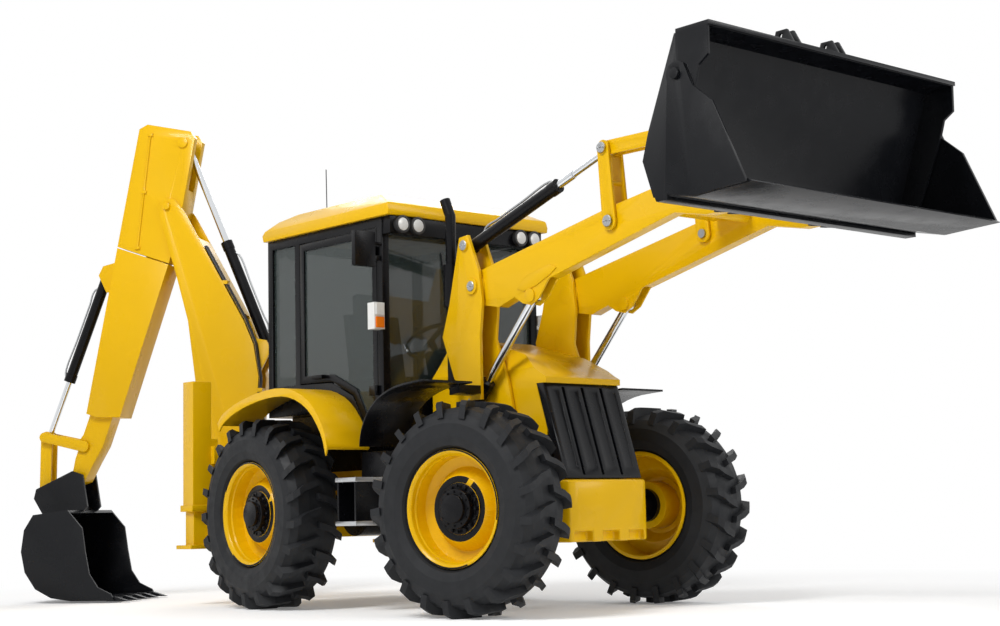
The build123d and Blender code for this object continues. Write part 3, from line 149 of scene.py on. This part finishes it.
def surface(name, color, rough, scale=3.0, spread=0.06, metallic=0.0, coat=0.0, grain=None,
            shade=0.06, gloss=0.5):
    """A plain finish whose colour and roughness vary a little over the surface.

    scale is the variation's size, spread how far the roughness strays and shade how much darker the
    colour gets; grain gives a fine relief as (scale, strength, depth).
    """
    material, tree, principled = shader(name)
    mix = add(tree, "ShaderNodeMix", data_type="RGBA")
    dark = [c * (1 - shade) for c in color]
    mix.inputs[6].default_value = (*dark, 1)
    mix.inputs[7].default_value = (*color, 1)
    tree.links.new(mottle(tree, scale, 0.0, 1.0), mix.inputs[0])
    tree.links.new(mix.outputs[2], principled.inputs["Base Color"])
    worn = mottle(tree, scale * 2.3, max(rough - spread, 0.02), rough + spread)
    tree.links.new(worn, principled.inputs["Roughness"])
    principled.inputs["Metallic"].default_value = metallic
    principled.inputs["Coat Weight"].default_value = coat
    principled.inputs["Coat Roughness"].default_value = 0.08
    principled.inputs["Specular IOR Level"].default_value = gloss
    if grain:
        bump(tree, principled, *grain)
    return material


def glass(name):
    """Green-grey tinted safety glass: mirror-like on its face, and see-through."""
    material, tree, principled = shader(name)
    principled.inputs["Base Color"].default_value = (0.035, 0.048, 0.046, 1)
    principled.inputs["Roughness"].default_value = 0.02
    principled.inputs["IOR"].default_value = 1.5
    principled.inputs["Alpha"].default_value = 0.60
    principled.inputs["Specular IOR Level"].default_value = 0.6
    return material


YELLOW = (0.76, 0.443, 0.0010)
MATERIALS = {
    "paint_yellow": surface("paint_yellow", YELLOW, 0.30, scale=1.5, coat=0.12, shade=0.05, gloss=0.16),
    "paint_charcoal": surface("paint_charcoal", (0.0045, 0.005, 0.0065), 0.25, gloss=0.22),
    "paint_black": surface("paint_black", (0.003, 0.003, 0.004), 0.28, gloss=0.16),
    "tyre_rubber": surface("tyre_rubber", (0.009, 0.010, 0.012), 0.58, scale=6, spread=0.1, shade=0.25,
                           gloss=0.3, grain=(90, 0.15, 0.002)),
    "pin_steel": surface("pin_steel", (0.42, 0.43, 0.44), 0.35, metallic=1.0),
    "rod_chrome": surface("rod_chrome", (0.72, 0.74, 0.76), 0.12, metallic=1.0, spread=0.03),
    "step_aluminium": surface("step_aluminium", (0.55, 0.56, 0.57), 0.34, metallic=1.0,
                              grain=(220, 0.1, 0.001)),
    "cab_glass": glass("cab_glass"),
    "trim_plastic": surface("trim_plastic", (0.018, 0.018, 0.019), 0.6, grain=(400, 0.1, 0.0006)),
    "lamp_housing": surface("lamp_housing", (0.72, 0.72, 0.70), 0.12),
    "engine_iron": surface("engine_iron", (0.03, 0.03, 0.03), 0.7),
}
ORANGE_LENS = surface("lens_orange", (0.85, 0.20, 0.01), 0.12)
HOSE = surface("hose_rubber", (0.010, 0.010, 0.011), 0.5, grain=(300, 0.2, 0.0008))


def dress_frame():
    """Each CAD node wears the material that its slot names."""
    for obj in frame["nodes"].values():
        for place in obj.material_slots:
            name = place.material.name.split(".")[0]
            if name in MATERIALS:
                place.material = MATERIALS[name]


dress_frame()


# ---- pieces made from the frame's own nodes -------------------------------------------------------
MERGE = 0.00005
FLAT = math.radians(1.0)


def softened(node, width, segments=2, angle=32):
    """A copy of a CAD node with its sharp edges rounded, shown in the node's place."""
    source = frame["nodes"][node]
    mesh = source.data.copy()
    work = bmesh.new()
    work.from_mesh(mesh)
    bmesh.ops.remove_doubles(work, verts=work.verts, dist=MERGE)
    bmesh.ops.dissolve_limit(work, angle_limit=FLAT, verts=work.verts, edges=work.edges)
    for face in work.faces:
        face.smooth = True
    work.to_mesh(mesh)
    work.free()
    piece = bpy.data.objects.new("soft_" + node, mesh)
    bpy.context.collection.objects.link(piece)
    bevel = piece.modifiers.new("bevel", "BEVEL")
    bevel.width = width
    bevel.segments = segments
    bevel.limit_method = "ANGLE"
    bevel.angle_limit = math.radians(angle)
    bevel.harden_normals = True
    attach(piece, source["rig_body"])
    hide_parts(node)
    return piece


# each node's name with its edges' rounding
SOFT_EDGES = {
    "hood": 0.012, "cab_roof": 0.014, "front_counterweight": 0.016, "loader_arms": 0.008,
    "chassis_frame": 0.005, "bucket_shell": 0.006, "bucket_clam": 0.005, "boom": 0.008,
    "dipper_inner": 0.006, "dipper_outer": 0.006, "hoe_bucket": 0.005, "grille": 0.004,
    "rear_fenders": 0.006, "front_fenders": 0.005, "cab_frame": 0.008, "door_right": 0.008,
    "door_left": 0.008, "levers": 0.004, "links": 0.003, "kingpost": 0.005, "carriage": 0.005,
    "rear_frame": 0.004, "stabiliser_right": 0.004, "stabiliser_left": 0.004, "tipping_lever": 0.004,
    "tipping_link": 0.004, "side_steps": 0.003, "cab_interior": 0.012,
}
SOFT = {node_name: softened(node_name, edge_width) for node_name, edge_width in SOFT_EDGES.items()}


# ---- small pieces -----------------------------------------------------------------------------------
def link_piece(name, mesh, body, slot, material=None):
    """Puts a mesh on a body, in its slot's material unless another is given."""
    mesh.materials.clear()
    mesh.materials.append(material or MATERIALS[slot])
    piece = bpy.data.objects.new(name, mesh)
    bpy.context.collection.objects.link(piece)
    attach(piece, body)
    return piece


def frame_of(axis):
    """A turn that takes +Z onto axis."""
    return Vector(axis).to_track_quat("Z", "Y").to_matrix().to_4x4()


def polar(radius, angle, height):
    return Vector((radius * math.cos(angle), radius * math.sin(angle), height))


def turned(work, place, axis, profile, steps=32):
    """Adds a turned shape: profile is (radius, height) pairs along axis from place."""
    matrix = Matrix.Translation(place) @ frame_of(axis)
    rings = []
    for radius, height in profile:
        ring = []
        for i in range(steps):
            ring.append(work.verts.new(matrix @ polar(radius, 2 * math.pi * i / steps, height)))
        rings.append(ring)
    for low, high in zip(rings, rings[1:]):
        for i in range(steps):
            k = (i + 1) % steps
            work.faces.new((low[i], low[k], high[k], high[i]))
    work.faces.new(list(reversed(rings[0])))
    work.faces.new(rings[-1])


def mesh_of(name, work, smooth=True):
    mesh = bpy.data.meshes.new(name)
    bmesh.ops.recalc_face_normals(work, faces=work.faces)
    for face in work.faces:
        face.smooth = smooth
    work.to_mesh(mesh)
    work.free()
    return mesh


def sharp(piece, angle=35):
    """Keeps edges crisp above the angle and smooths the rest."""
    for edge in piece.data.edges:
        edge.use_edge_sharp = False
    piece.data.set_sharp_from_angle(angle=math.radians(angle))
    return piece


def tube(name, points, radius, body, slot, sides=10):
    """A hose or pipe: a round tube along a smooth curve through the points."""
    curve = bpy.data.curves.new(name, "CURVE")
    curve.dimensions = "3D"
    spline = curve.splines.new("BEZIER")
    spline.bezier_points.add(len(points) - 1)
    for place, point in zip(points, spline.bezier_points):
        point.co = place
        point.handle_left_type = "AUTO"
        point.handle_right_type = "AUTO"
    curve.bevel_depth = radius
    curve.bevel_resolution = sides // 4
    curve.resolution_u = 8
    curve.use_fill_caps = True
    draft = bpy.data.objects.new(name + "_draft", curve)
    mesh = bpy.data.meshes.new_from_object(draft)
    bpy.data.objects.remove(draft)
    for polygon in mesh.polygons:
        polygon.use_smooth = True
    return link_piece(name, mesh, body, slot)


# name: axle's x, side (+1 left), steering angle at rest in degrees
WHEELS = {
    "front_right": (2.220, -1, 10.5),
    "front_left": (2.220, 1, 10.5),
    "rear_right": (0.0, -1, -3.0),
    "rear_left": (0.0, 1, -3.0),
}
KINGPIN_Y = 0.640
WHEEL_OUT = 0.285
AXLE_Z = 0.700


def wheel_frame(name):
    """Wheel's middle, and its axis towards the outside."""
    x, side, turn = WHEELS[name]
    a = math.radians(turn)
    out = Vector((-side * math.sin(a), side * math.cos(a), 0))
    return at(x, side * KINGPIN_Y, AXLE_Z) + out * WHEEL_OUT, out


WASHER = 0.003


def ring_of_bolts(work, centre, out, reach, count, radius, height, base):
    """Adds hexagon heads on washers, count of them in a ring round the axis out."""
    matrix = Matrix.Translation(centre) @ frame_of(out)
    bolt = [(radius * 1.5, 0), (radius * 1.5, WASHER), (radius, WASHER), (radius, height * 0.85),
            (radius * 0.85, height)]
    for i in range(count):
        place = matrix @ polar(reach, 2 * math.pi * i / count, base)
        turned(work, place, out, bolt, 6)


def repaint(piece, material, chosen):
    """Gives the faces whose middle is chosen another material."""
    piece.data.materials.append(material)
    last = len(piece.data.materials) - 1
    for polygon in piece.data.polygons:
        if chosen(polygon.center):
            polygon.material_index = last


HUB_R = 0.1685
HUB_FROM = 0.088                        # the planetary hub starts here, from the wheel's middle
RIM_EDGE = 0.003
HUB_BOLTS = (
    # ring's radius, count, bolt's radius, its height, how far out it stands
    (0.110, 12, 0.006, 0.008, 0.150),
    (0.147, 8, 0.010, 0.010, 0.118),
)


def dress_wheel(wheel):
    """Rounds the rim's edges, blackens its hub and adds the hub's bolts."""
    centre, out = wheel_frame(wheel)

    def on_hub(place):
        height = (place - centre).dot(out)
        return height > HUB_FROM and (place - centre - out * height).length < HUB_R

    repaint(softened("rim_" + wheel, RIM_EDGE), MATERIALS["paint_black"], on_hub)
    work = bmesh.new()
    for ring in HUB_BOLTS:
        ring_of_bolts(work, centre, out, *ring)
    sharp(link_piece("hub_bolts_" + wheel, mesh_of("hub_bolts", work), "wheel_" + wheel, "paint_black"))


for wheel in WHEELS:
    dress_wheel(wheel)


# ---- lamps ------------------------------------------------------------------------------------------
LAMP_SIDES = 40


def lamp_face(name, place, axis, radius):
    """A round lamp's dark bezel with its bright lens set in it."""
    bezel = [(radius + 0.007, -0.03), (radius + 0.007, 0.004), (radius - 0.004, 0.007),
             (radius - 0.008, 0.002)]
    lens = [(radius - 0.008, 0.0), (radius - 0.010, 0.004), (radius * 0.6, 0.009), (radius * 0.2, 0.011)]
    for part, profile, slot in (("_bezel", bezel, "trim_plastic"), ("_lens", lens, "lamp_housing")):
        work = bmesh.new()
        turned(work, place, axis, profile, LAMP_SIDES)
        sharp(link_piece(name + part, mesh_of(name, work), "chassis", slot))


CAB_FRONT = 1.160
CAB_REAR = -0.290
CAB_HALF = 0.745
LAMP_Y = (-0.640, -0.500, 0.500, 0.640)
LAMP_Z = 2.738
LAMP_FRONT = CAB_FRONT + 0.085 + 0.030  # the roof's brow and the lamp's own body
LAMP_REAR = CAB_REAR - 0.026
for index, y in enumerate(LAMP_Y):
    lamp_face("work_lamp_front_%d" % index, at(LAMP_FRONT, y, LAMP_Z), (1, 0, 0), 0.056)
    lamp_face("work_lamp_rear_%d" % index, at(LAMP_REAR, y, LAMP_Z), (-1, 0, 0), 0.052)


TANK_Y = 0.765                          # the tank and battery box reach this far out, the steps further
STEP_Z = ((0.599, 0.633), (0.904, 0.938))


def on_tank(place):
    """Whether a point lies on the tank or the battery box, and not on a bright step."""
    return abs(place.y - MID.y) < TANK_Y or not any(low < place.z < high for low, high in STEP_Z)


repaint(SOFT["side_steps"], MATERIALS["paint_black"], on_tank)


AERIAL = at(0.060, -0.430, 0.0)
AERIAL_R = 0.035
ROOF_TOP = 3.030


def on_aerial(place):
    return place.z > ROOF_TOP and math.hypot(place.x - AERIAL.x, place.y - AERIAL.y) < AERIAL_R


repaint(SOFT["cab_roof"], MATERIALS["trim_plastic"], on_aerial)


BOOM_HOSES_Y = (0.100, 0.129)
BOOM_HOSE_REACH = 0.0145                # the hose's radius and a little more
BOOM_HOSE_LINE = ((0.060, 1.430), (0.024, 1.840), (0.066, 2.140), (0.150, 2.340), (0.500, 2.985))


def on_boom_hose(place):
    """Whether a point lies on one of the two hoses along the boom's upper edge."""
    back = Matrix.Rotation(-HOE_TURN, 3, "Z") @ (place - MID - KINGPOST)
    for y in BOOM_HOSES_Y:
        for low, high in zip(BOOM_HOSE_LINE, BOOM_HOSE_LINE[1:]):
            start, end = Vector((low[0], y, low[1])), Vector((high[0], y, high[1]))
            share = max(0.0, min(1.0, (back - start).dot(end - start) / (end - start).length_squared))
            if (back - start.lerp(end, share)).length < BOOM_HOSE_REACH:
                return True
    return False


repaint(SOFT["boom"], HOSE, on_boom_hose)


# ---- pipes on the rams ------------------------------------------------------------------------------
def along(foot, head, reach, side):
    """A point in a side plane: reach along foot to head, side to its upper side."""
    run = math.hypot(head[0] - foot[0], head[1] - foot[1])
    dx, dz = (head[0] - foot[0]) / run, (head[1] - foot[1]) / run
    return foot[0] + dx * reach - dz * side, foot[1] + dz * reach + dx * side


PIPE_R = 0.008
RAM_Y = 0.444                           # the loader's rams lie this far from the middle


def ram_pipe(name, foot, head, y, barrel, gland, body, place, side=1):
    """A thin steel pipe that feeds the barrel's gland end, bent into the barrel at both ends."""
    line = [(0.14, barrel - 0.003), (0.16, barrel + 0.016), (0.30, barrel + 0.018),
            (gland * 0.6, barrel + 0.018), (gland - 0.06, barrel + 0.016), (gland - 0.03, barrel - 0.003)]
    points = []
    for reach, off in line:
        x, z = along(foot, head, reach, side * off)
        points.append(place(x, y, z))
    tube(name + "_pipe", points, PIPE_R, body, "pin_steel")


RAM_PIPES = (
    # name, ram's foot, its head, y, barrel's radius, reach of its gland, body, place
    ("tilt_right", (1.815, 2.520), (3.178, 2.978), -RAM_Y, 0.045, 0.925, "tilt_ram_barrels", at),
    ("lift_right", (1.290, 0.860), (2.440, 2.105), -RAM_Y, 0.048, 0.88, "lift_ram_barrels", at),
    ("tilt_left", (1.815, 2.520), (3.178, 2.978), RAM_Y, 0.045, 0.925, "tilt_ram_barrels", at),
    ("lift_left", (1.290, 0.860), (2.440, 2.105), RAM_Y, 0.048, 0.88, "lift_ram_barrels", at),
    ("boom", (0.020, 1.225), (0.300, 2.300), 0.0, 0.044, 0.96, "boom_ram_barrel", hoe),
    ("dipper", (-0.015, 2.100), (0.709, 3.905), 0.0, 0.046, 0.92, "dipper_ram_barrel", hoe),
    ("bucket", (1.447, 2.800), (1.977, 1.400), 0.0, 0.045, 0.985, "bucket_ram_barrel", hoe),
)
for pipe in RAM_PIPES:
    ram_pipe(*pipe)


# ---- pin heads ----------------------------------------------------------------------------------------
PIN_HEADS = (
    # name, x, z, how far out the pin ends, head's radius, body
    ("arm_pivot", 1.890, 2.225, 0.542, 0.036, "chassis"),
    ("tower_top", 1.815, 2.520, 0.540, 0.036, "chassis"),
    ("lever_foot", 3.215, 2.496, 0.525, 0.038, "loader_arms"),
    ("bucket_pivot", 4.145, 2.486, 0.525, 0.038, "loader_arms"),
    ("lever_top", 3.178, 2.978, 0.525, 0.036, "levers"),
)


NIPPLE = [(0.005, 0.004), (0.005, 0.014), (0.003, 0.018)]
KEEPER_BOLTS = (2, 0.005, 0.006, 0.008)  # count, radius, height, how far out they stand


def pin_heads():
    """A chamfered head with its grease nipple and keeper bolt on the end of each main pin."""
    for name, x, z, reach, radius, body in PIN_HEADS:
        head = [(radius, -0.004), (radius, 0.004), (radius - 0.004, 0.008), (0.012, 0.008), (0.012, 0.006)]
        for side, tag in LEFT_AND_RIGHT:
            work = bmesh.new()
            out = Vector((0, side, 0))
            place = at(x, side * reach, z)
            turned(work, place, out, head, 32)
            turned(work, place, out, NIPPLE, 10)
            ring_of_bolts(work, place, out, radius * 0.66, *KEEPER_BOLTS)
            mesh = mesh_of("pin_head", work)
            sharp(link_piece("pin_head_" + name + "_" + tag, mesh, body, "pin_steel"))


pin_heads()


# ---- windscreen wiper, and the lenses of the indicators and side lights -------------------------------
def plate(name, low, high, body, slot, material=None, edge=0.003):
    """A flat trim piece between two corners, its edges rounded."""
    work = bmesh.new()
    bmesh.ops.create_cube(work, size=1.0)
    middle = (low + high) / 2
    size = high - low
    for vertex in work.verts:
        vertex.co = vertex.co * size + middle
    bmesh.ops.bevel(work, geom=list(work.edges), offset=edge, segments=2, affect="EDGES")
    return sharp(link_piece(name, mesh_of(name, work), body, slot, material))


PANE_X = CAB_FRONT - 0.024
WIPER_R = 0.006
WIPER = {
    # off the pane, y, z
    "wiper_arm": ((0.012, 0.10, 1.60), (0.020, -0.02, 1.95), (0.014, -0.14, 2.28)),
    "wiper_blade": ((0.008, -0.10, 1.98), (0.008, -0.14, 2.28), (0.008, -0.18, 2.58)),
}
for part, line in WIPER.items():
    tube(part, [at(PANE_X + off, y, z) for off, y, z in line], WIPER_R, "chassis", "trim_plastic")

INDICATOR_X = CAB_FRONT + 0.040
INDICATOR_Y = CAB_HALF + 0.060
LENS_HALF = 0.036
AMBER_Z = (1.990, 2.066)
WHITE_Z = (2.080, 2.160)


def lens_corners(side, heights):
    x, y = INDICATOR_X, side * INDICATOR_Y
    return at(x - 0.002, y - LENS_HALF, heights[0]), at(x + 0.012, y + LENS_HALF, heights[1])


for side, tag in LEFT_AND_RIGHT:
    plate("indicator_amber_" + tag, *lens_corners(side, AMBER_Z), "chassis", "lamp_housing", ORANGE_LENS)
    plate("side_light_" + tag, *lens_corners(side, WHITE_Z), "chassis", "lamp_housing")


# ---- floor, world and lamps -----------------------------------------------------------------------
WORLD_LIGHT = 0.34


def make_world():
    """A white surround that the camera, gloss and glass see; it lights the machine at a plain level."""
    world = bpy.data.worlds.new("world")
    bpy.context.scene.world = world
    world.use_nodes = True
    tree = world.node_tree
    background = tree.nodes["Background"]
    background.inputs["Color"].default_value = (1, 1, 1, 1)
    path = add(tree, "ShaderNodeLightPath")
    seen = add(tree, "ShaderNodeMath", operation="MAXIMUM")
    seen_or_glossy = add(tree, "ShaderNodeMath", operation="MAXIMUM")
    strength = add(tree, "ShaderNodeMapRange")
    strength.inputs["To Min"].default_value = WORLD_LIGHT
    strength.inputs["To Max"].default_value = 1.0
    tree.links.new(path.outputs["Is Camera Ray"], seen.inputs[0])
    tree.links.new(path.outputs["Is Glossy Ray"], seen.inputs[1])
    tree.links.new(seen.outputs[0], seen_or_glossy.inputs[0])
    tree.links.new(path.outputs["Is Transmission Ray"], seen_or_glossy.inputs[1])
    tree.links.new(seen_or_glossy.outputs[0], strength.inputs["Value"])
    tree.links.new(strength.outputs["Result"], background.inputs["Strength"])


FLOOR_HALF = 60
FADE_FROM = 4.0
FADE_TO = 7.5


def make_floor():
    """A pale floor that keeps the shadow and fades into the white surround."""
    mesh = bpy.data.meshes.new("floor")
    corners = [(x * FLOOR_HALF, y * FLOOR_HALF, 0) for x, y in ((-1, -1), (1, -1), (1, 1), (-1, 1))]
    mesh.from_pydata(corners, [], [(0, 1, 2, 3)])
    floor = bpy.data.objects.new("floor", mesh)
    bpy.context.collection.objects.link(floor)
    material, tree, principled = shader("floor")
    principled.inputs["Base Color"].default_value = (0.97, 0.97, 0.97, 1)
    principled.inputs["Roughness"].default_value = 0.9
    principled.inputs["Specular IOR Level"].default_value = 0.1
    principled.inputs["Emission Color"].default_value = (1, 1, 1, 1)
    principled.inputs["Emission Strength"].default_value = 0.16
    place = add(tree, "ShaderNodeTexCoord")
    length = add(tree, "ShaderNodeVectorMath", operation="LENGTH")
    fade = add(tree, "ShaderNodeMapRange", interpolation_type="SMOOTHSTEP")
    fade.inputs["From Min"].default_value = FADE_FROM
    fade.inputs["From Max"].default_value = FADE_TO
    white = add(tree, "ShaderNodeEmission", Strength=1.0)
    white.inputs["Color"].default_value = (1, 1, 1, 1)
    mix = add(tree, "ShaderNodeMixShader")
    tree.links.new(place.outputs["Object"], length.inputs[0])
    tree.links.new(length.outputs["Value"], fade.inputs["Value"])
    path = add(tree, "ShaderNodeLightPath")
    seen = add(tree, "ShaderNodeMath", operation="MULTIPLY")
    tree.links.new(fade.outputs["Result"], seen.inputs[0])
    tree.links.new(path.outputs["Is Camera Ray"], seen.inputs[1])
    tree.links.new(seen.outputs[0], mix.inputs[0])
    tree.links.new(principled.outputs[0], mix.inputs[1])
    tree.links.new(white.outputs[0], mix.inputs[2])
    tree.links.new(mix.outputs[0], tree.nodes["Material Output"].inputs["Surface"])
    mesh.materials.append(material)


AIM = Vector((0, 0, 1.5))
LAMPS = (
    # name, place, size, power
    ("key", (2.0, -8.0, 10.0), 4.0, 980),
    ("front", (11.0, 2.0, 6.0), 5.0, 420),
    ("back", (-8.0, 6.0, 9.0), 5.0, 350),
)


def make_lamp(name, place, size, power):
    data = bpy.data.lights.new(name, "AREA")
    data.size = size
    data.energy = power
    lamp = bpy.data.objects.new(name, data)
    lamp.location = place
    lamp.rotation_euler = (AIM - Vector(place)).to_track_quat("-Z", "Y").to_euler()
    bpy.context.collection.objects.link(lamp)


make_world()
make_floor()
for lamp in LAMPS:
    make_lamp(*lamp)

bpy.context.scene.view_settings.view_transform = "Standard"
